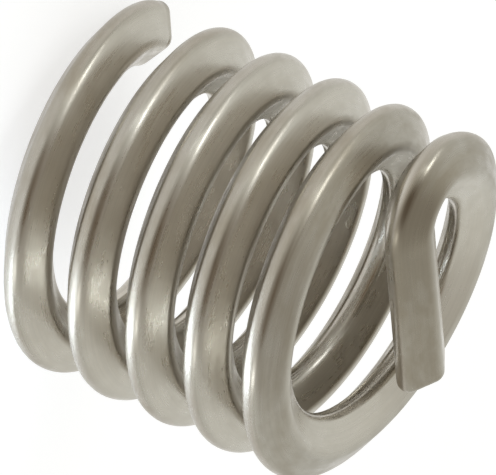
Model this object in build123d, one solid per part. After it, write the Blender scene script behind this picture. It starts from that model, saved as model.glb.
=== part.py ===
from build123d import *
from build123d.topology import SkipClean

import math
import os

# Helical thread insert: one length of diamond wire, coiled right-handed, with a driving tang.
# Millimetres. The coil axis is Z. The free end, where the screw enters, is at the bottom, the
# tang crosses the bore at the top, and the origin is on the axis at the base of the coil.

# Thread: 32 turns to the inch
PITCH = 25.4 / 32
OUTSIDE_DIAMETER = 4.5
COIL_ANGLE = 1824.0

# Wire: a rhombus with 60 degree crests, the outer one round and the inner one bevelled beside its
# land, and with bevelled sides. Its ends are square, as sheared.
WIRE_HEIGHT = 0.79
FLANK_ANGLE = 60.0
CREST_ROUND = 0.2
CREST_LAND = 0.09
CREST_BEVEL = 0.06
SIDE_BEVEL = 0.09

# What the lands take off the height of the wire, outside and inside the coil
LAND_CUT = 0.006

# Free end: drawn in a little over its first half turn, so that it starts in the tapped hole
FREE_END_OPENING = 0.16
FREE_END_OPENING_ANGLE = 454.0
DRAW_IN = 0.037
DRAW_IN_ANGLE = 180.0

# Tang end: the last turn springs open and out, and levels where the tang is bent across the bore.
# The bend's slight tilt lifts the tip of the tang clear of the turn under it.
TANG_END_OPENING = 0.174
TANG_END_OPENING_ANGLE = 209.0
LEVELLING_ANGLE = 35.0
SPRING_OUT = 0.029
SPRING_OUT_ANGLE = 135.0
LAND_STOP = 180.0
BEND_RADIUS = 0.48
BEND_ANGLE = 126.0
BEND_TILT = 0.8
TANG_LENGTH = 2.52
NOTCH_PLACE = COIL_ANGLE - 6
NOTCH_DEPTH = 0.1
NOTCH_ANGLE = 60.0

# How finely the coil's line is described
LINE_STEP = 15.0
LAND_ARC = 30.0

# Worked out from the sizes above
wire_radius = OUTSIDE_DIAMETER / 2 - WIRE_HEIGHT / 2
swept_height = WIRE_HEIGHT + 2 * LAND_CUT
half_flank = math.radians(FLANK_ANGLE / 2)
round_centre = WIRE_HEIGHT / 2 - math.sqrt(CREST_ROUND**2 - (CREST_LAND / 2) ** 2)
crest_apex = round_centre + CREST_ROUND / math.sin(half_flank)
side_apex = crest_apex * math.tan(half_flank)
wire_width = 2 * (side_apex - SIDE_BEVEL * math.sin(half_flank))
bore_radius = OUTSIDE_DIAMETER / 2 - WIRE_HEIGHT
end_slope = PITCH / 360 + 2 * TANG_END_OPENING / TANG_END_OPENING_ANGLE


def share_left(angle, span):
    """Share of a span that is still ahead: 1 at angle 0, and 0 from the span's end on."""
    return max(0.0, 1 - angle / span)


def coil_height(angle):
    """Height of the wire's centre: a plain helix, opened at both ends and levelled at the tang."""
    to_go = COIL_ANGLE - angle
    helix = PITCH * angle / 360
    free_end = FREE_END_OPENING * (1 - share_left(angle, FREE_END_OPENING_ANGLE) ** 2)
    tang_end = TANG_END_OPENING * share_left(to_go, TANG_END_OPENING_ANGLE) ** 2
    levelling = end_slope * LEVELLING_ANGLE / 2 * share_left(to_go, LEVELLING_ANGLE) ** 2
    return wire_width / 2 + helix + free_end + tang_end - levelling


def coil_radius(angle):
    """Radius of the wire's centre: constant along the thread, and eased at the two ends."""
    draw_in = DRAW_IN * share_left(angle, DRAW_IN_ANGLE) ** 2
    spring_out = SPRING_OUT * share_left(COIL_ANGLE - angle, SPRING_OUT_ANGLE) ** 2
    return wire_radius - draw_in + spring_out


def coil_point(angle):
    """Centre of the wire at an angle round the coil."""
    turn = math.radians(angle)
    radius = coil_radius(angle)
    return Vector(radius * math.cos(turn), radius * math.sin(turn), coil_height(angle))


def coil_direction(angle):
    """Direction in which the wire runs at an angle round the coil."""
    nudge = 0.001
    return (coil_point(angle + nudge) - coil_point(angle - nudge)).normalized()


# The lands run along the turns of even radius, and stop short of the tang
land_base = coil_height(DRAW_IN_ANGLE)
land_top = coil_height(COIL_ANGLE - LAND_STOP)


def turn_line(start, end):
    """The line of the wire's centre over one turn of the coil, or over a part of a turn."""
    steps = math.ceil((end - start) / LINE_STEP)
    angles = [start + (end - start) * step / steps for step in range(steps + 1)]
    return Spline(
        *[coil_point(angle) for angle in angles],
        tangents=(coil_direction(start), coil_direction(end)),
        tangent_scalars=(1, 1),
    )


def wire_line():
    """The whole line of the wire's centre: the turns, the tight bend and the straight tang."""
    count = math.ceil(COIL_ANGLE / 360)
    share = COIL_ANGLE / count
    turns = [turn_line(share * number, share * (number + 1)) for number in range(count)]
    coil_end = turns[-1]
    level = Plane(origin=coil_end @ 1, x_dir=coil_end % 1, z_dir=(0, 0, 1))
    tilted = level.rotated((BEND_TILT, 0, 0))
    bend = tilted * JernArc(start=(0, 0), tangent=(1, 0), radius=BEND_RADIUS, arc_size=BEND_ANGLE)
    tang = Line(bend @ 1, bend @ 1 + (bend % 1) * TANG_LENGTH)
    return Wire([*turns, bend, tang])


def wire_section():
    """The wire's section before its crests are rolled: X is radial and Y is along the axis."""
    corners = [(crest_apex, 0), (0, side_apex), (-crest_apex, 0), (0, -side_apex)]
    rhombus = make_face(Polyline(*corners, close=True))
    sides = rhombus.vertices().sort_by(Axis.Y)
    section = chamfer([sides[0], sides[-1]], SIDE_BEVEL)
    section = fillet(section.vertices().sort_by(Axis.X)[-1], CREST_ROUND)
    section = (section & Rectangle(swept_height, 2 * side_apex)).face()
    inner_crest = section.vertices().sort_by(Axis.X)[:2]
    return chamfer(inner_crest, CREST_BEVEL)


def coiled_wire():
    """The wire swept along its line, with a guide above it that keeps the section upright."""
    line = wire_line()
    guide = Pos(0, 0, OUTSIDE_DIAMETER) * line
    free_end = Plane(origin=coil_point(0), x_dir=(1, 0, 0), z_dir=(0, -1, 0))
    return sweep(free_end * wire_section(), path=line, binormal=guide, clean=False).solid()


def land_rod(radius):
    """A rod as tall as the lands. Its side is a ring of short arcs, so each short land is a face."""
    count = round(360 / LAND_ARC)
    rim = [CenterArc((0, 0), radius, LAND_ARC * number, LAND_ARC) for number in range(count)]
    rod = extrude(make_face(rim), amount=land_top - land_base, dir=(0, 0, 1), clean=False)
    return (Pos(0, 0, land_base) * rod).solid()


def with_lands(wire):
    """The wire with its crests brought to true cylinders, outside and inside the coil."""
    from_base = (Align.CENTER, Align.CENTER, Align.MIN)
    block = Pos(0, 0, land_base) * Cylinder(OUTSIDE_DIAMETER, land_top - land_base, align=from_base)
    sleeve = block.solid().cut(land_rod(OUTSIDE_DIAMETER / 2))
    return wire.cut(land_rod(bore_radius)).cut(sleeve)


def break_off_notch():
    """A small V across the side of the wire that faces the free end, where the tang snaps off."""
    half_width = NOTCH_DEPTH * math.tan(math.radians(NOTCH_ANGLE / 2))
    underside = coil_height(NOTCH_PLACE) - wire_width / 2
    corners = [(-2 * half_width, -NOTCH_DEPTH), (0, NOTCH_DEPTH), (2 * half_width, -NOTCH_DEPTH)]
    across = Plane(origin=(bore_radius, 0, underside), x_dir=(0, 1, 0), z_dir=(1, 0, 0))
    groove = extrude(across * make_face(Polyline(*corners, close=True)), amount=WIRE_HEIGHT * 2)
    return (Rot(0, 0, NOTCH_PLACE) * groove).solid()


def thread_insert():
    """The finished insert, as one solid."""
    return with_lands(coiled_wire()).cut(break_off_notch())


os.makedirs("parts", exist_ok=True)
with SkipClean():
    insert = thread_insert()
export_step(insert, "parts/thread_insert.step")
print(f"bore radius {bore_radius:.3f}, lands from {land_base:.3f} to {land_top:.3f}")
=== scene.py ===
import math
import bmesh
import bpy
from bpy.props import FloatProperty, FloatVectorProperty, PointerProperty
from mathutils import Matrix, Vector


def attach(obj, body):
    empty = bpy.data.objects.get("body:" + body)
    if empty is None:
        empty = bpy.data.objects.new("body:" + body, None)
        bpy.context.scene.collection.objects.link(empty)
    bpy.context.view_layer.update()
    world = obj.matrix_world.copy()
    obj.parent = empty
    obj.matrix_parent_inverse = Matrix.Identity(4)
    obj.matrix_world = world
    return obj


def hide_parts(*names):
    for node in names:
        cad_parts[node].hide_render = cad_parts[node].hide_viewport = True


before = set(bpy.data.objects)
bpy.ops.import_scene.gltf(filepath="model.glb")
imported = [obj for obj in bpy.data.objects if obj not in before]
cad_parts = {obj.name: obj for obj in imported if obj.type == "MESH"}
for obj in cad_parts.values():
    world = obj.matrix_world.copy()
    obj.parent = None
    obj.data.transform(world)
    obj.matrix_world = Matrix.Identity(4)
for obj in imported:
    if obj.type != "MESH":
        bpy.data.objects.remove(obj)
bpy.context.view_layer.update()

bl_info = {
    "name": "Helical thread insert",
    "version": (1, 0, 0),
    "blender": (4, 5, 0),
    "location": "View3D > Sidebar > Thread insert",
    "description": "Builds a coiled wire thread insert with its driving tang, and its studio",
    "category": "Object",
}

# Lengths are in millimetres and angles in degrees. MM turns a length into Blender's metres, which
# the sizes in the panel are in already. The coil's axis is Z, with its free end at the bottom.
MM = 0.001
UP = Vector((0, 0, 1))

# ---------------------------------------------------------------- form

# The coil
PITCH = 25.4 / 32
OUTSIDE_DIAMETER = 4.5
COIL_ANGLE = 1824.0
FLANK_ANGLE = 60.0

# Free end: the turns open, the first half turn is drawn in, and the tip stands out past the coil
FREE_END_OPENING = 0.16
FREE_END_OPENING_ANGLE = 454.0
DRAW_IN = 0.037
DRAW_IN_ANGLE = 180.0
FREE_TIP = 0.08

# Tang end: the last turn opens, levels and springs out, and the tang is bent across the bore
TANG_END_OPENING = 0.174
TANG_END_OPENING_ANGLE = 209.0
LEVELLING_ANGLE = 35.0
SPRING_OUT = 0.029
SPRING_OUT_ANGLE = 135.0
BEND_RADIUS = 0.48
BEND_ANGLE = 126.0
BEND_TILT = 0.8
TANG_LENGTH = 2.52
NOTCH_PLACE = COIL_ANGLE - 6
NOTCH_DEPTH = 0.1
NOTCH_ANGLE = 60.0

# How finely the wire is meshed. The stretch before the bend holds the notch and is the finest.
COIL_STEP = 1.5
FINE_STRETCH = 15.0
FINE_STEPS = 50
BEND_STEPS = 62
TANG_STEPS = 40
CREST_STEPS = 14
SIDE_STEPS = 10
FLANK_STEPS = 5
RIM_STEPS = 9

# The rings that close a cut end, as shares of its rim
CAP_SCALES = (0.75, 0.45, 0.2)

# The share of a crest's round by which the section may be drawn in before it is scaled instead
INSET_LIMIT = 0.9

# ---------------------------------------------------------------- finish

# Grains of the steel: scale along the wire, outward and up its side, then detail and roughness
GRAINS = {
    "clouds": ((0.55, 1.7, 1.7), 3.0, 0.5),
    "mottle": ((2.6, 5.5, 5.5), 5.0, 0.6),
    "lines": ((0.6, 42, 42), 3.0, 0.6),
    "fine_lines": ((1.6, 85, 85), 2.0, 0.5),
    "grit": ((55, 60, 60), 3.0, 0.65),
    "shear": ((10, 6, 70), 4.0, 0.6),
}

# Easings. Each has the two values between which it eases, and then what it gives at each of them.
# These go by the level of a grain.
CLOUD_FILM = (0.36, 0.64, 0.0, 0.55)
MOTTLE_FILM = (0.35, 0.68, 0.0, 0.35)
WORN_PATCHES = (0.3, 0.6, 0.45, 1.0)
STREAK_SHADE = (0.3, 0.7, 0.955, 1.035)
SHEAR_SHADE = (0.35, 0.65, 0.0, 1.0)
MOTTLE_ROUGHNESS = (0.3, 0.7, -0.05, 0.08)
LINE_ROUGHNESS = (0.35, 0.7, -0.03, 0.05)

# These go by how far outward a point lies from the wire's centre
INNER_CREST = (-0.28, -0.37, 0.0, 1.0)
# Painted sheen: the inner half of the wire, where the bore lies in shade, is made lighter
INNER_PAINTED_SHEEN = (0.1, -0.15, 0.0, 0.75)
# Used only for the painted highlight on the tang's outer lower edge
OUTER_HALF = (0.02, 0.16, 0.0, 1.0)

# These go by how far towards the tang end it lies from the wire's centre
# Used only for the painted sheen on the upper flanks
UPPER_FLANK = (0.04, 0.15, 0.0, 1.0)
# Used only for the painted highlight on the tang's outer lower edge
LOWER_HALF = (0.04, -0.06, 0.0, 1.0)
# The tang is made darker on its lower side
TANG_DARK_SIDE = (-0.2, -0.05, 0.0, 0.75)

# These go by the length of wire from it to the end of the tang
PAST_BEND = (3.5, 2.9, 0.0, 1.0)
# How much of the tang's darkening is left, less towards its tip
TANG_DARK_LEFT = (2.4, 0.6, 1.0, 0.35)
# Painted sheen: the upper flanks are made lighter on the turns towards the free end, and not within 15
# mm of the tang's end
FLANK_PAINTED_SHEEN = (18, 15, 0.72, 0.0)

# This goes by the length of wire from it to the nearer end
CUT_FACE = (0.008, 0.001, 0.0, 1.0)

# Shares of a full change
# How far the tang's darker side goes towards its dark colour
TANG_DARKENING = 0.5
CREST_WEAR = 0.5

# Roughness taken off the worn crests and added on the cut faces
CREST_SMOOTHING = 0.05
CUT_ROUGHENING = 0.16

# Relief of each grain against the drawing lines, and of them all
FINE_LINE_RELIEF = 0.4
GRIT_RELIEF = 0.2
SHEAR_RELIEF = 6.0
RELIEF_STRENGTH = 0.06
RELIEF_DEPTH = 0.002

# ---------------------------------------------------------------- view and light

# How the coil lies in the view: its axis drops to the right and leans towards the viewer, and the
# coil is turned a little about it
AXIS_DROP = 24.067
AXIS_LEAN = 21.927
COIL_TURN = -2.865

# The lens, the sensor, the width of what is seen, and how near and far the view reaches
LENS = 800
SENSOR = 36
FRAME_WIDTH = 5.772
NEAREST_SEEN = 5
FARTHEST_SEEN = 5000

# A point on the coil's axis, and how far right and up of the middle of the view it is seen
AIM_HEIGHT = 2.610
AIM_RIGHT = 0.066
AIM_UP = -0.155

# Directions for the lights are as the viewer sees them: right, up and towards the viewer.
# The fill and the key light each follow an arc from one direction to another, and the lamps on
# the coil face a point on its axis from the same distance. A size is a length and a width.
LAMP_AIM_HEIGHT = 2.4
LAMP_DISTANCE = 60
LAMP_COLOUR = (0.95, 1.0, 1.03)
FILL_ARC = ((-0.06, 0.73, 0.68), (0.88, 0.13, 0.46))
KEY_ARC = ((0.72, 0.26, 0.64), (0.68, 0.71, 0.2))
LOW_PLACE = (-0.32, -0.84, 0.43)
FILL_SIZE = (76, 11)
KEY_SIZE = (20, 11)
TAIL_SIZE = (30, 9)
LOW_SIZE = (20, 8)

# How many times as much the key lamp leans to the start of its arc as to the end, and its tail to
# the end as to the start
KEY_LEAN = 2
TAIL_LEAN = 2.5

# The lamp over the floor: the way it lies from the axis, and its place that way, across it and up
WASH_TOWARDS = (-0.715, -0.668, 0.207)
WASH_PLACE = (11.5, -0.4, 1.3)
WASH_SIZE = (16, 1.6)
WASH_COLOUR = (0.86, 1.0, 1.16)

# The floor lies a hair under the coil
FLOOR_SIZE = 3000
FLOOR_GAP = 0.01
PAPER = (0.5, 0.5, 0.5)

# Where the room is dark: the direction, and an easing by the cosine of the angle from it
DARK_WALLS = (
    ((0.16, -0.35, 0.923), (0.68, 0.99, 0.0, 1.0)),
    ((0.62, -0.31, 0.72), (0.80, 1.0, 0.0, 0.75)),
    ((0.70, -0.60, 0.39), (0.72, 1.0, 0.0, 0.4)),
)

# Spacing of the nodes in the node editor
NODE_COLUMN = 220
NODE_ROW = 260


# ---------------------------------------------------------------- sizes and colours


class WireSizes(bpy.types.PropertyGroup):
    """Sizes of the wire that the insert is coiled from."""

    height: FloatProperty(
        name="Wire height",
        description="Radial height of the wire, from crest to crest",
        default=0.79 * MM,
        unit="LENGTH",
    )
    width: FloatProperty(
        name="Wire width",
        description="Width of the wire along the coil's axis",
        default=0.603 * MM,
        unit="LENGTH",
    )
    crest_round: FloatProperty(
        name="Crest round",
        description="Radius of the wire's inner and outer crests",
        default=0.15 * MM,
        unit="LENGTH",
    )
    side_round: FloatProperty(
        name="Side round",
        description="Radius of the wire's two sides, between its flanks",
        default=0.17 * MM,
        unit="LENGTH",
    )
    free_round: FloatProperty(
        name="Free end round",
        description="Radius worn onto the rim of the free end",
        default=0.3 * MM,
        unit="LENGTH",
    )
    tang_round: FloatProperty(
        name="Tang end round",
        description="Radius worn onto the rim of the tang's cut end",
        default=0.12 * MM,
        unit="LENGTH",
    )


class SteelFinish(bpy.types.PropertyGroup):
    """Colours and finish of the stainless wire."""

    bare: FloatVectorProperty(
        name="Bare steel",
        description="Colour of the steel where rolling and handling have polished it",
        default=(0.45, 0.422, 0.37),
        subtype="COLOR",
        size=3,
        min=0,
        max=1,
    )
    drawn: FloatVectorProperty(
        name="Drawn steel",
        description="Colour of the steel where a thin drawing film is left",
        default=(0.335, 0.296, 0.234),
        subtype="COLOR",
        size=3,
        min=0,
        max=1,
    )
    # Darker colour for the tang's lower side past the bend
    tang_dark_colour: FloatVectorProperty(
        name="Stained steel",
        description="Colour of the tang where bending has left the film heaviest",
        default=(0.165, 0.138, 0.1),
        subtype="COLOR",
        size=3,
        min=0,
        max=1,
    )
    # Bright steel of the sheared cut faces, and the lighter colour of the painted sheen on the inside
    # of the coil, the tang's outer lower edge and the upper flanks
    cut_steel_and_painted_sheen: FloatVectorProperty(
        name="Burnished steel",
        description="Colour of the steel inside the coil and on the flanks that face the tang",
        default=(0.62, 0.582, 0.515),
        subtype="COLOR",
        size=3,
        min=0,
        max=1,
    )
    roughness: FloatProperty(
        name="Roughness",
        description="Roughness of the satin surface",
        default=0.3,
        subtype="FACTOR",
        min=0.05,
        max=1,
    )


class StudioLevels(bpy.types.PropertyGroup):
    """Light levels of the studio."""

    key: FloatProperty(
        name="Key light",
        description="Brightness of the lamp at the upper right",
        default=3.4,
        min=0,
    )
    tail: FloatProperty(
        name="Key tail",
        description="Brightness of the dimmer lamp that carries the key light on",
        default=1.6,
        min=0,
    )
    fill: FloatProperty(
        name="Fill light",
        description="Brightness of the long lamp from the top to the right",
        default=1.0,
        min=0,
    )
    low: FloatProperty(
        name="Low light",
        description="Brightness of the upright lamp at the lower left",
        default=4.5,
        min=0,
    )
    wash: FloatProperty(
        name="Floor wash",
        description="Brightness of the lamp that is turned to the floor",
        default=18.0,
        min=0,
    )
    floor_glow: FloatProperty(
        name="Floor glow",
        description="White added to the floor where it is seen",
        default=0.64,
        min=0,
    )
    room: FloatVectorProperty(
        name="Room",
        description="Light of the room's pale walls",
        default=(0.86, 0.875, 0.845),
        subtype="COLOR",
        size=3,
        min=0,
        max=1,
    )
    viewer_side: FloatVectorProperty(
        name="Viewer's side",
        description="Light of the darker side of the room, behind the viewer",
        default=(0.215, 0.165, 0.115),
        subtype="COLOR",
        size=3,
        min=0,
        max=1,
    )


# ---------------------------------------------------------------- the wire's line


def share_left(angle, span):
    """Share of a span that is still ahead: 1 at angle 0, and 0 from the span's end on."""
    return max(0.0, 1 - angle / span)


def coil_height(angle, wire_width):
    """Height of the wire's centre: a plain helix, opened at both ends and levelled at the tang."""
    to_go = COIL_ANGLE - angle
    end_slope = PITCH / 360 + 2 * TANG_END_OPENING / TANG_END_OPENING_ANGLE
    free_end = FREE_END_OPENING * (1 - share_left(angle, FREE_END_OPENING_ANGLE) ** 2)
    tang_end = TANG_END_OPENING * share_left(to_go, TANG_END_OPENING_ANGLE) ** 2
    levelling = end_slope * LEVELLING_ANGLE / 2 * share_left(to_go, LEVELLING_ANGLE) ** 2
    return wire_width / 2 + PITCH * angle / 360 + free_end + tang_end - levelling


def coil_radius(angle, wire_height):
    """Radius of the wire's centre: constant along the thread, and eased at the two ends."""
    draw_in = DRAW_IN * share_left(angle, DRAW_IN_ANGLE) ** 2
    spring_out = SPRING_OUT * share_left(COIL_ANGLE - angle, SPRING_OUT_ANGLE) ** 2
    return (OUTSIDE_DIAMETER - wire_height) / 2 - draw_in + spring_out


def coil_station(angle, wire_height, wire_width):
    """The wire's centre at an angle round the coil, and the level direction outward from there."""
    turn = math.radians(angle)
    out = Vector((math.cos(turn), math.sin(turn), 0))
    centre = out * coil_radius(angle, wire_height) + UP * coil_height(angle, wire_width)
    return centre, out


def coil_stations(wire_height, wire_width):
    """Stations along the coil, close together over the stretch before the bend."""
    fine_start = COIL_ANGLE - FINE_STRETCH
    steps = round(fine_start / COIL_STEP)
    angles = [fine_start * step / steps for step in range(steps)]
    angles += [fine_start + FINE_STRETCH * step / FINE_STEPS for step in range(FINE_STEPS + 1)]
    return [coil_station(angle, wire_height, wire_width) for angle in angles]


def tang_stations(start, along):
    """Stations of the tight bend and the straight tang, both tilted a little to clear the coil."""
    level = Vector((along.x, along.y, 0)).normalized()
    inward = Vector((-level.y, level.x, 0))
    stations = [(start, -inward)]
    tilt = math.radians(BEND_TILT)
    inward = inward * math.cos(tilt) + UP * math.sin(tilt)
    bend_centre = start + inward * BEND_RADIUS
    for step in range(1, BEND_STEPS + 1):
        turn = math.radians(BEND_ANGLE * step / BEND_STEPS)
        spoke = level * math.sin(turn) - inward * math.cos(turn)
        out = Vector((spoke.x, spoke.y, 0)).normalized()
        stations.append((bend_centre + spoke * BEND_RADIUS, out))
    turn = math.radians(BEND_ANGLE)
    heading = level * math.cos(turn) + inward * math.sin(turn)
    tang_start, out = stations[-1]
    for step in range(1, TANG_STEPS + 1):
        stations.append((tang_start + heading * TANG_LENGTH * step / TANG_STEPS, out))
    return stations


def wire_stations(wire_height, wire_width):
    """Stations along the whole wire. At each is its centre and the level direction outward."""
    coil = coil_stations(wire_height, wire_width)
    before, start = coil[-2][0], coil[-1][0]
    return coil[:-1] + tang_stations(start, (start - before).normalized())


def lengths_to(stations):
    """Length of wire from the coil's start to each station."""
    lengths = [0.0]
    for (here, _), (following, _) in zip(stations, stations[1:]):
        lengths.append(lengths[-1] + (following - here).length)
    return lengths


# ---------------------------------------------------------------- the wire's section


def section_corners(sizes):
    """Corners of the rhombus before they are rounded, each with its radius and number of steps."""
    half_height, half_width = sizes.height / MM / 2, sizes.width / MM / 2
    crest, side = sizes.crest_round / MM, sizes.side_round / MM
    slant = math.radians(FLANK_ANGLE / 2)
    crest_apex = half_height + crest * (1 / math.sin(slant) - 1)
    side_apex = half_width + side * (1 / math.cos(slant) - 1)
    return [
        (Vector((crest_apex, 0)), crest, CREST_STEPS),
        (Vector((0, side_apex)), side, SIDE_STEPS),
        (Vector((-crest_apex, 0)), crest, CREST_STEPS),
        (Vector((0, -side_apex)), side, SIDE_STEPS),
    ]


def rounded_corner(corner, before, after, radius, steps):
    """Points round one corner of the section, each with its outward normal."""
    towards_before = (before - corner).normalized()
    towards_after = (after - corner).normalized()
    middle = (towards_before + towards_after).normalized()
    half = towards_before.angle(towards_after) / 2
    centre = corner + middle * radius / math.sin(half)
    sweep = math.pi - 2 * half
    facing = math.atan2(-middle.y, -middle.x)
    points = []
    for step in range(steps + 1):
        turn = facing + sweep * (step / steps - 0.5)
        normal = Vector((math.cos(turn), math.sin(turn)))
        points.append((centre + normal * radius, normal))
    return points


def wire_section(sizes):
    """Points round the section, counter-clockwise from the outer crest, each with its normal."""
    corners = section_corners(sizes)
    arcs = []
    for number, (corner, radius, steps) in enumerate(corners):
        before = corners[number - 1][0]
        after = corners[(number + 1) % len(corners)][0]
        arcs.append(rounded_corner(corner, before, after, radius, steps))
    section = []
    for arc, next_arc in zip(arcs, arcs[1:] + arcs[:1]):
        section += arc
        point, normal = arc[-1]
        following, next_normal = next_arc[0]
        for step in range(1, FLANK_STEPS):
            share = step / FLANK_STEPS
            between = normal.lerp(next_normal, share).normalized()
            section.append((point.lerp(following, share), between))
    return section


def end_inset(to_end, end_round):
    """How far the section is drawn in near a cut end, so that the rim is round."""
    reach = max(0.0, end_round - to_end)
    return end_round - math.sqrt(max(0.0, end_round**2 - reach**2))


def notched(point, from_notch, wire_width):
    """The section's point, lifted where the break-off notch crosses its lower side."""
    depth = NOTCH_DEPTH - abs(from_notch) / math.tan(math.radians(NOTCH_ANGLE / 2))
    floor = -wire_width / 2 + depth
    return Vector((point.x, max(point.y, floor))) if depth > 0 else point


# ---------------------------------------------------------------- the wire's skin


def notch_length(stations, lengths, wire_height, wire_width):
    """Length of wire from the coil's start to the station nearest to the break-off notch."""
    notch = coil_station(NOTCH_PLACE, wire_height, wire_width)[0]
    nearest = min(range(len(stations)), key=lambda number: (stations[number][0] - notch).length)
    return lengths[nearest]


def skin_rings(stations, lengths, free_round, tang_round):
    """The stations, with closer ones round both rims, and each with its length along the wire."""
    (start, start_out), (second, _) = stations[:2]
    (next_to_last, _), (end, end_out) = stations[-2:]
    total = lengths[-1]
    heading = (second - start).normalized()
    tang_heading = (end - next_to_last).normalized()
    tip = start - heading * FREE_TIP
    rim = [1 - math.cos(math.pi / 2 * step / RIM_STEPS) for step in range(RIM_STEPS + 1)]
    rings = []
    # Round the free end, the length is counted from the tip
    for share in rim:
        depth = free_round * share
        rings.append((tip + heading * depth, start_out, depth))
    for (centre, out), length in zip(stations, lengths):
        if free_round - FREE_TIP < length < total - tang_round:
            rings.append((centre, out, length))
    for share in reversed(rim):
        depth = tang_round * share
        rings.append((end - tang_heading * depth, end_out, total - depth))
    return rings


def join(skin, near, far):
    """Faces between two rings of vertices."""
    for number in range(len(near)):
        following = (number + 1) % len(near)
        skin.faces.new((near[number], near[following], far[following], far[number]))


def wire_mesh(sizes):
    """The whole wire as one closed skin. Each vertex keeps its place on the straight wire: its
    length along it, then how far outward and how far towards the tang end it lies."""
    height, width = sizes.height / MM, sizes.width / MM
    free_round, tang_round = sizes.free_round / MM, sizes.tang_round / MM
    stations = wire_stations(height, width)
    lengths = lengths_to(stations)
    total = lengths[-1]
    notch = notch_length(stations, lengths, height, width)
    section = wire_section(sizes)
    inset_limit = sizes.crest_round / MM * INSET_LIMIT
    skin = bmesh.new()
    wire_place = skin.verts.layers.float_vector.new("wire_place")

    def add_vertex(place, length, spot):
        vertex = skin.verts.new(place * MM)
        vertex[wire_place] = (length, spot.x, spot.y)
        return vertex

    def add_ring(ring, scale=1.0):
        centre, out, length = ring
        inset = end_inset(length, free_round) + end_inset(total - length, tang_round)
        along_normal = min(inset, inset_limit)
        left_over = 1 - (inset - along_normal) / (height / 2)
        vertices = []
        for point, normal in section:
            spot = notched(point, length - notch, width) - normal * along_normal
            spot = spot * scale * left_over
            vertices.append(add_vertex(centre + out * spot.x + UP * spot.y, length, spot))
        return vertices

    rings = skin_rings(stations, lengths, free_round, tang_round)
    made = [add_ring(ring) for ring in rings]
    for near, far in zip(made, made[1:]):
        join(skin, near, far)
    for ring, edge, at_start in ((rings[0], made[0], True), (rings[-1], made[-1], False)):
        for scale in CAP_SCALES:
            inner = add_ring(ring, scale)
            if at_start:
                join(skin, inner, edge)
            else:
                join(skin, edge, inner)
            edge = inner
        hub = add_vertex(ring[0], ring[2], Vector((0, 0)))
        for number, vertex in enumerate(edge):
            triangle = (vertex, edge[(number + 1) % len(edge)], hub)
            skin.faces.new(triangle[::-1] if at_start else triangle)
    bmesh.ops.recalc_face_normals(skin, faces=skin.faces)
    for face in skin.faces:
        face.smooth = True
    mesh = bpy.data.meshes.new("insert_wire")
    skin.to_mesh(mesh)
    skin.free()
    return mesh


# ---------------------------------------------------------------- nodes


def empty_tree(owner):
    """The node tree of a new material or world, with nothing in it."""
    owner.use_nodes = True
    owner.node_tree.nodes.clear()
    return owner.node_tree


def feed(tree, socket, value):
    """Links a value to a socket, or sets it there if it is a plain number, colour or direction."""
    if isinstance(value, bpy.types.NodeSocket):
        tree.links.new(value, socket)
    elif socket.type == "RGBA":
        socket.default_value = (*value, 1)
    else:
        socket.default_value = value


def node(tree, kind, inputs=(), **settings):
    """Adds a node, makes its settings, feeds its inputs, and returns it."""
    made = tree.nodes.new(kind)
    for name, value in settings.items():
        setattr(made, name, value)
    for name, value in dict(inputs).items():
        feed(tree, made.inputs[name], value)
    return made


def combined(tree, operation, *values, clamp=False):
    """Several values put together in order by one operation. Each is a link or a plain number."""
    result = values[0]
    for value in values[1:]:
        inputs = {0: result, 1: value}
        made = node(tree, "ShaderNodeMath", inputs, operation=operation, use_clamp=clamp)
        result = made.outputs["Value"]
    return result


def eased(tree, value, start, end, low, high):
    """Eases from low to high as a value goes from the start to the end, which may be the lower."""
    inputs = {"Value": value, "From Min": start, "From Max": end, "To Min": low, "To Max": high}
    made = node(tree, "ShaderNodeMapRange", inputs, interpolation_type="SMOOTHSTEP")
    return made.outputs["Result"]


def mixed(tree, factor, first, second, blend="MIX"):
    """Two colours mixed by a factor. Each of the three is a link or a plain value."""
    inputs = {"Factor": factor, "A": first, "B": second}
    made = node(tree, "ShaderNodeMix", inputs, data_type="RGBA", blend_type=blend)
    return made.outputs["Result"]


def grain_of(tree, place, scale, detail, roughness):
    """Noise stretched by a scale along the wire, outward and up its side."""
    stretched = node(tree, "ShaderNodeMapping", {"Vector": place, "Scale": scale})
    inputs = {
        "Vector": stretched.outputs["Vector"],
        "Scale": 1.0,
        "Detail": detail,
        "Roughness": roughness,
    }
    return node(tree, "ShaderNodeTexNoise", inputs).outputs["Fac"]


def lay_out(tree):
    """Puts the nodes in columns, each node to the left of all that it feeds."""
    column = {made.name: 0 for made in tree.nodes}
    for _ in tree.nodes:
        for link in tree.links:
            source, target = link.from_node.name, link.to_node.name
            column[source] = max(column[source], column[target] + 1)
    filled = {}
    for made in tree.nodes:
        number = column[made.name]
        row = filled.get(number, 0)
        made.location = (-NODE_COLUMN * number, -NODE_ROW * row)
        filled[number] = row + 1


# ---------------------------------------------------------------- the wire's steel


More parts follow.
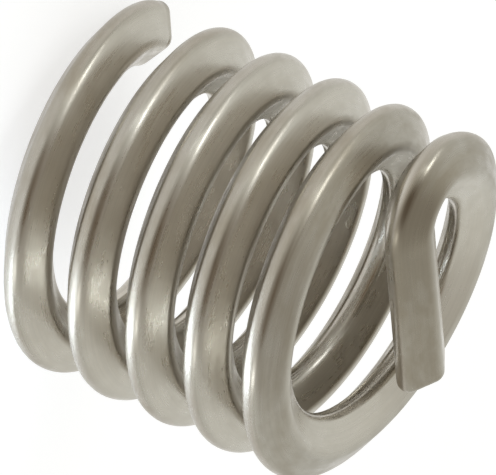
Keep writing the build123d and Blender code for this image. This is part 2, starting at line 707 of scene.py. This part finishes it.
def steel_colour(tree, finish, grain, film, tang_darkness, painted_sheen, cut):
    """Colour: bare or filmed steel, darker on the tang, then painted sheen, streaks and the cut faces.
    """
    colour = mixed(tree, film, finish.bare, finish.drawn)
    # Darker on the tang's lower side past the bend, most near the bend
    darkening = combined(tree, "MULTIPLY", tang_darkness, TANG_DARKENING)
    colour = mixed(tree, darkening, colour, finish.tang_dark_colour)
    # Painted sheen: lighter colour on the inner half of the wire, the tang's outer lower edge and the
    # upper flanks of the turns away from the tang
    colour = mixed(tree, painted_sheen, colour, finish.cut_steel_and_painted_sheen)
    shade = eased(tree, grain["lines"], *STREAK_SHADE)
    streaks = node(tree, "ShaderNodeCombineColor", {"Red": shade, "Green": shade, "Blue": shade})
    colour = mixed(tree, 1.0, colour, streaks.outputs["Color"], "MULTIPLY")
    sheared = eased(tree, grain["shear"], *SHEAR_SHADE)
    cut_colour = mixed(tree, sheared, finish.drawn, finish.cut_steel_and_painted_sheen)
    return mixed(tree, cut, colour, cut_colour)


def steel_roughness(tree, finish, grain, worn, cut):
    """Roughness: mottled and lined, smoother on the worn crests and rougher on the cut faces."""
    mottle = eased(tree, grain["mottle"], *MOTTLE_ROUGHNESS)
    lines = eased(tree, grain["lines"], *LINE_ROUGHNESS)
    smoothing = combined(tree, "MULTIPLY", worn, -CREST_SMOOTHING)
    roughening = combined(tree, "MULTIPLY", cut, CUT_ROUGHENING)
    return combined(tree, "ADD", finish.roughness, mottle, lines, smoothing, roughening)


def steel_relief(tree, grain, cut):
    """Relief: drawing lines and grit all over, and shear marks on the cut faces."""
    fine_lines = combined(tree, "MULTIPLY", grain["fine_lines"], FINE_LINE_RELIEF)
    grit = combined(tree, "MULTIPLY", grain["grit"], GRIT_RELIEF)
    sheared = combined(tree, "MULTIPLY", grain["shear"], cut, SHEAR_RELIEF)
    height = combined(tree, "ADD", grain["lines"], fine_lines, grit, sheared)
    inputs = {"Strength": RELIEF_STRENGTH, "Distance": RELIEF_DEPTH * MM, "Height": height}
    return node(tree, "ShaderNodeBump", inputs).outputs["Normal"]


def satin_steel(finish, total):
    """Stainless wire: satin, with drawing lines, a thin warm film, worn crests, sheared ends, a darker
    tang and painted sheen.
    """
    material = bpy.data.materials.new("stainless_wire")
    tree = empty_tree(material)
    place = node(tree, "ShaderNodeAttribute", attribute_name="wire_place").outputs["Vector"]
    along, outward, side = node(tree, "ShaderNodeSeparateXYZ", {"Vector": place}).outputs
    to_end = combined(tree, "SUBTRACT", total, along)
    to_nearer_end = combined(tree, "MINIMUM", along, to_end)
    grain = {name: grain_of(tree, place, *values) for name, values in GRAINS.items()}

    cut = eased(tree, to_nearer_end, *CUT_FACE)
    past_bend = eased(tree, to_end, *PAST_BEND)
    patches = eased(tree, grain["mottle"], *WORN_PATCHES)
    worn = combined(tree, "MULTIPLY", eased(tree, outward, *INNER_CREST), patches)

    # The tang is made darker on its lower side past the bend, most near the bend and less towards its
    # tip; this darkening also adds to the film
    tang_darkness = eased(tree, side, *TANG_DARK_SIDE)
    darkness_left = eased(tree, to_end, *TANG_DARK_LEFT)
    tang_darkness = combined(tree, "MULTIPLY", past_bend, darkness_left, tang_darkness)
    clouds = eased(tree, grain["clouds"], *CLOUD_FILM)
    mottle = eased(tree, grain["mottle"], *MOTTLE_FILM)
    film = combined(tree, "ADD", clouds, mottle, tang_darkness)
    worn_off = combined(tree, "MULTIPLY", worn, CREST_WEAR)
    film = combined(tree, "SUBTRACT", film, worn_off, clamp=True)

    # Painted sheen: the inner half of the wire is made lighter, where the bore lies in shade
    inside = eased(tree, outward, *INNER_PAINTED_SHEEN)
    # Painted highlight: the tang's outer lower edge past the bend is made lighter, as a reflection of
    # the bright floor would make it
    outer_half = eased(tree, outward, *OUTER_HALF)
    lower_half = eased(tree, side, *LOWER_HALF)
    tang_edge = combined(tree, "MULTIPLY", outer_half, lower_half, past_bend)
    # Painted sheen: the upper flanks of the turns away from the tang are made lighter
    upper_flank = eased(tree, side, *UPPER_FLANK)
    flanks = combined(tree, "MULTIPLY", upper_flank, eased(tree, to_end, *FLANK_PAINTED_SHEEN))
    painted_sheen = combined(tree, "MAXIMUM", inside, tang_edge, flanks)

    inputs = {
        "Metallic": 1.0,
        "Base Color": steel_colour(tree, finish, grain, film, tang_darkness, painted_sheen, cut),
        "Roughness": steel_roughness(tree, finish, grain, worn, cut),
        "Normal": steel_relief(tree, grain, cut),
    }
    steel = node(tree, "ShaderNodeBsdfPrincipled", inputs)
    node(tree, "ShaderNodeOutputMaterial", {"Surface": steel.outputs["BSDF"]})
    lay_out(tree)
    return material


# ---------------------------------------------------------------- studio


def view_axes():
    """The turn from the view's directions to the coil's. Its rows are X, Y and Z as they are seen."""
    drop, lean, turn = map(math.radians, (AXIS_DROP, AXIS_LEAN, COIL_TURN))
    level = Vector((math.sin(drop), math.cos(drop), 0))
    rising = Vector((
        -math.cos(drop) * math.sin(lean),
        math.sin(drop) * math.sin(lean),
        math.cos(lean),
    ))
    axis = Vector((
        math.cos(drop) * math.cos(lean),
        -math.sin(drop) * math.cos(lean),
        math.sin(lean),
    ))
    x_axis = level * math.cos(turn) + rising * math.sin(turn)
    y_axis = -level * math.sin(turn) + rising * math.cos(turn)
    return Matrix((x_axis, y_axis, axis))


def make_camera(axes):
    """A long lens, turned so that the coil lies on its side."""
    data = bpy.data.cameras.new("view")
    data.lens = LENS
    data.sensor_width = SENSOR
    data.clip_start = NEAREST_SEEN * MM
    data.clip_end = FARTHEST_SEEN * MM
    camera = bpy.data.objects.new("view", data)
    bpy.context.scene.collection.objects.link(camera)
    away = FRAME_WIDTH * LENS / SENSOR
    aim_seen = Vector((AIM_RIGHT, AIM_UP, -away))
    place = UP * AIM_HEIGHT - axes @ aim_seen
    camera.matrix_world = Matrix.Translation(place * MM) @ axes.to_4x4()
    bpy.context.scene.camera = camera


def area_lamp(name, level, colour, size, place, side, back):
    """A rectangular lamp that is long towards one side, and shines away from its back."""
    data = bpy.data.lights.new(name, "AREA")
    data.shape = "RECTANGLE"
    data.size, data.size_y = (length * MM for length in size)
    data.energy = level * math.pi * data.size * data.size_y
    data.color = colour
    lamp = bpy.data.objects.new(name, data)
    bpy.context.scene.collection.objects.link(lamp)
    turn = Matrix((side, back.cross(side), back)).transposed()
    lamp.matrix_world = Matrix.Translation(place * MM) @ turn.to_4x4()
    return lamp


def lamp_on_coil(name, level, size, towards, along):
    """A lamp that stands off towards one direction, is long in another, and faces the coil."""
    back = towards.normalized()
    side = (along - back * along.dot(back)).normalized()
    place = UP * LAMP_AIM_HEIGHT + back * LAMP_DISTANCE
    area_lamp(name, level, LAMP_COLOUR, size, place, side, back)


def lamp_over_floor(name, level, axes):
    """A low lamp beside the coil that shines straight down. The steel doesn't mirror it."""
    towards = axes @ Vector(WASH_TOWARDS)
    away = Vector((towards.x, towards.y, 0)).normalized()
    turn = Matrix((away, UP.cross(away), UP)).transposed()
    lamp = area_lamp(name, level, WASH_COLOUR, WASH_SIZE, turn @ Vector(WASH_PLACE), away, UP)
    lamp.visible_glossy = False


def studio_lamps(studio, axes):
    """All the lamps: the fill and the key with its tail on their arcs, the low one and the wash."""
    fill_start, fill_end = (axes @ Vector(direction) for direction in FILL_ARC)
    key_start, key_end = (axes @ Vector(direction) for direction in KEY_ARC)
    fill_run = fill_end - fill_start
    key_run = key_end - key_start
    lamp_on_coil("fill_lamp", studio.fill, FILL_SIZE, fill_start + fill_end, fill_run)
    lamp_on_coil("key_lamp", studio.key, KEY_SIZE, key_start * KEY_LEAN + key_end, key_run)
    lamp_on_coil("key_tail", studio.tail, TAIL_SIZE, key_start + key_end * TAIL_LEAN, key_run)
    lamp_on_coil("low_lamp", studio.low, LOW_SIZE, axes @ Vector(LOW_PLACE), UP)
    lamp_over_floor("floor_wash", studio.wash, axes)


def pale_paper(glow):
    """Matt paper that has a glow of its own wherever it is seen, straight or in the steel."""
    material = bpy.data.materials.new("pale_floor")
    tree = empty_tree(material)
    paper = node(tree, "ShaderNodeBsdfDiffuse", {"Color": PAPER}).outputs["BSDF"]
    white = node(tree, "ShaderNodeEmission", {"Strength": glow}).outputs["Emission"]
    glowing = node(tree, "ShaderNodeAddShader", {0: paper, 1: white}).outputs["Shader"]
    rays = node(tree, "ShaderNodeLightPath").outputs
    kinds = (rays["Is Camera Ray"], rays["Is Glossy Ray"], rays["Is Transmission Ray"])
    seen = combined(tree, "MAXIMUM", *kinds)
    surface = node(tree, "ShaderNodeMixShader", {0: seen, 1: paper, 2: glowing})
    node(tree, "ShaderNodeOutputMaterial", {"Surface": surface.outputs["Shader"]})
    lay_out(tree)
    return material


def pale_floor(glow):
    """A pale matt floor, which keeps the insert's shadow and reads as white to the eye and in steel."""
    bpy.ops.mesh.primitive_plane_add(size=FLOOR_SIZE * MM, location=UP * -FLOOR_GAP * MM)
    floor = bpy.context.object
    floor.name = "studio_floor"
    floor.data.materials.append(pale_paper(glow))


def room(studio, axes):
    """The light of a plain room that is darker on the viewer's side."""
    world = bpy.data.worlds.new("room")
    tree = empty_tree(world)
    towards = node(tree, "ShaderNodeTexCoord").outputs["Generated"]
    darks = []
    for direction, easing in DARK_WALLS:
        aim = (axes @ Vector(direction)).normalized()
        facing = node(tree, "ShaderNodeVectorMath", {0: towards, 1: aim}, operation="DOT_PRODUCT")
        darks.append(eased(tree, facing.outputs["Value"], *easing))
    dark = combined(tree, "MAXIMUM", *darks)
    colour = mixed(tree, dark, studio.room, studio.viewer_side)
    walls = node(tree, "ShaderNodeBackground", {"Color": colour})
    node(tree, "ShaderNodeOutputWorld", {"Surface": walls.outputs["Background"]})
    lay_out(tree)
    bpy.context.scene.world = world


# ---------------------------------------------------------------- operators


class MakeInsertWire(bpy.types.Operator):
    """Coils the wire, bends its tang and gives it its steel"""

    bl_idname = "thread_insert.make_wire"
    bl_label = "Coiled wire with tang"

    def execute(self, context):
        mesh = wire_mesh(context.scene.insert_wire)
        total = max(place.vector.x for place in mesh.attributes["wire_place"].data)
        mesh.materials.append(satin_steel(context.scene.insert_finish, total))
        wire = bpy.data.objects.new("insert_wire", mesh)
        context.scene.collection.objects.link(wire)
        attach(wire, "root")
        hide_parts("thread_insert")
        return {"FINISHED"}


class MakeStage(bpy.types.Operator):
    """Lays the floor, lights the insert and sets the viewpoint"""

    bl_idname = "thread_insert.make_stage"
    bl_label = "Studio"

    def execute(self, context):
        studio = context.scene.insert_studio
        axes = view_axes()
        context.scene.view_settings.view_transform = "Standard"
        pale_floor(studio.floor_glow)
        room(studio, axes)
        studio_lamps(studio, axes)
        make_camera(axes)
        return {"FINISHED"}


class InsertPanel(bpy.types.Panel):
    """Lists the sizes, the colours and the pieces of the insert"""

    bl_idname = "VIEW3D_PT_thread_insert"
    bl_label = "Thread insert"
    bl_space_type = "VIEW_3D"
    bl_region_type = "UI"
    bl_category = "Thread insert"

    def draw(self, context):
        scene = context.scene
        for group in (scene.insert_wire, scene.insert_finish, scene.insert_studio):
            box = self.layout.box()
            for name in type(group).__annotations__:
                box.prop(group, name)
        for operator in (MakeInsertWire, MakeStage):
            self.layout.operator(operator.bl_idname)


CLASSES = (WireSizes, SteelFinish, StudioLevels, MakeInsertWire, MakeStage, InsertPanel)


def register():
    for cls in CLASSES:
        bpy.utils.register_class(cls)
    bpy.types.Scene.insert_wire = PointerProperty(type=WireSizes)
    bpy.types.Scene.insert_finish = PointerProperty(type=SteelFinish)
    bpy.types.Scene.insert_studio = PointerProperty(type=StudioLevels)


def unregister():
    del bpy.types.Scene.insert_studio
    del bpy.types.Scene.insert_finish
    del bpy.types.Scene.insert_wire
    for cls in reversed(CLASSES):
        bpy.utils.unregister_class(cls)


def main():
    register()
    bpy.ops.thread_insert.make_wire()
    bpy.ops.thread_insert.make_stage()


if __name__ == "__main__":
    main()
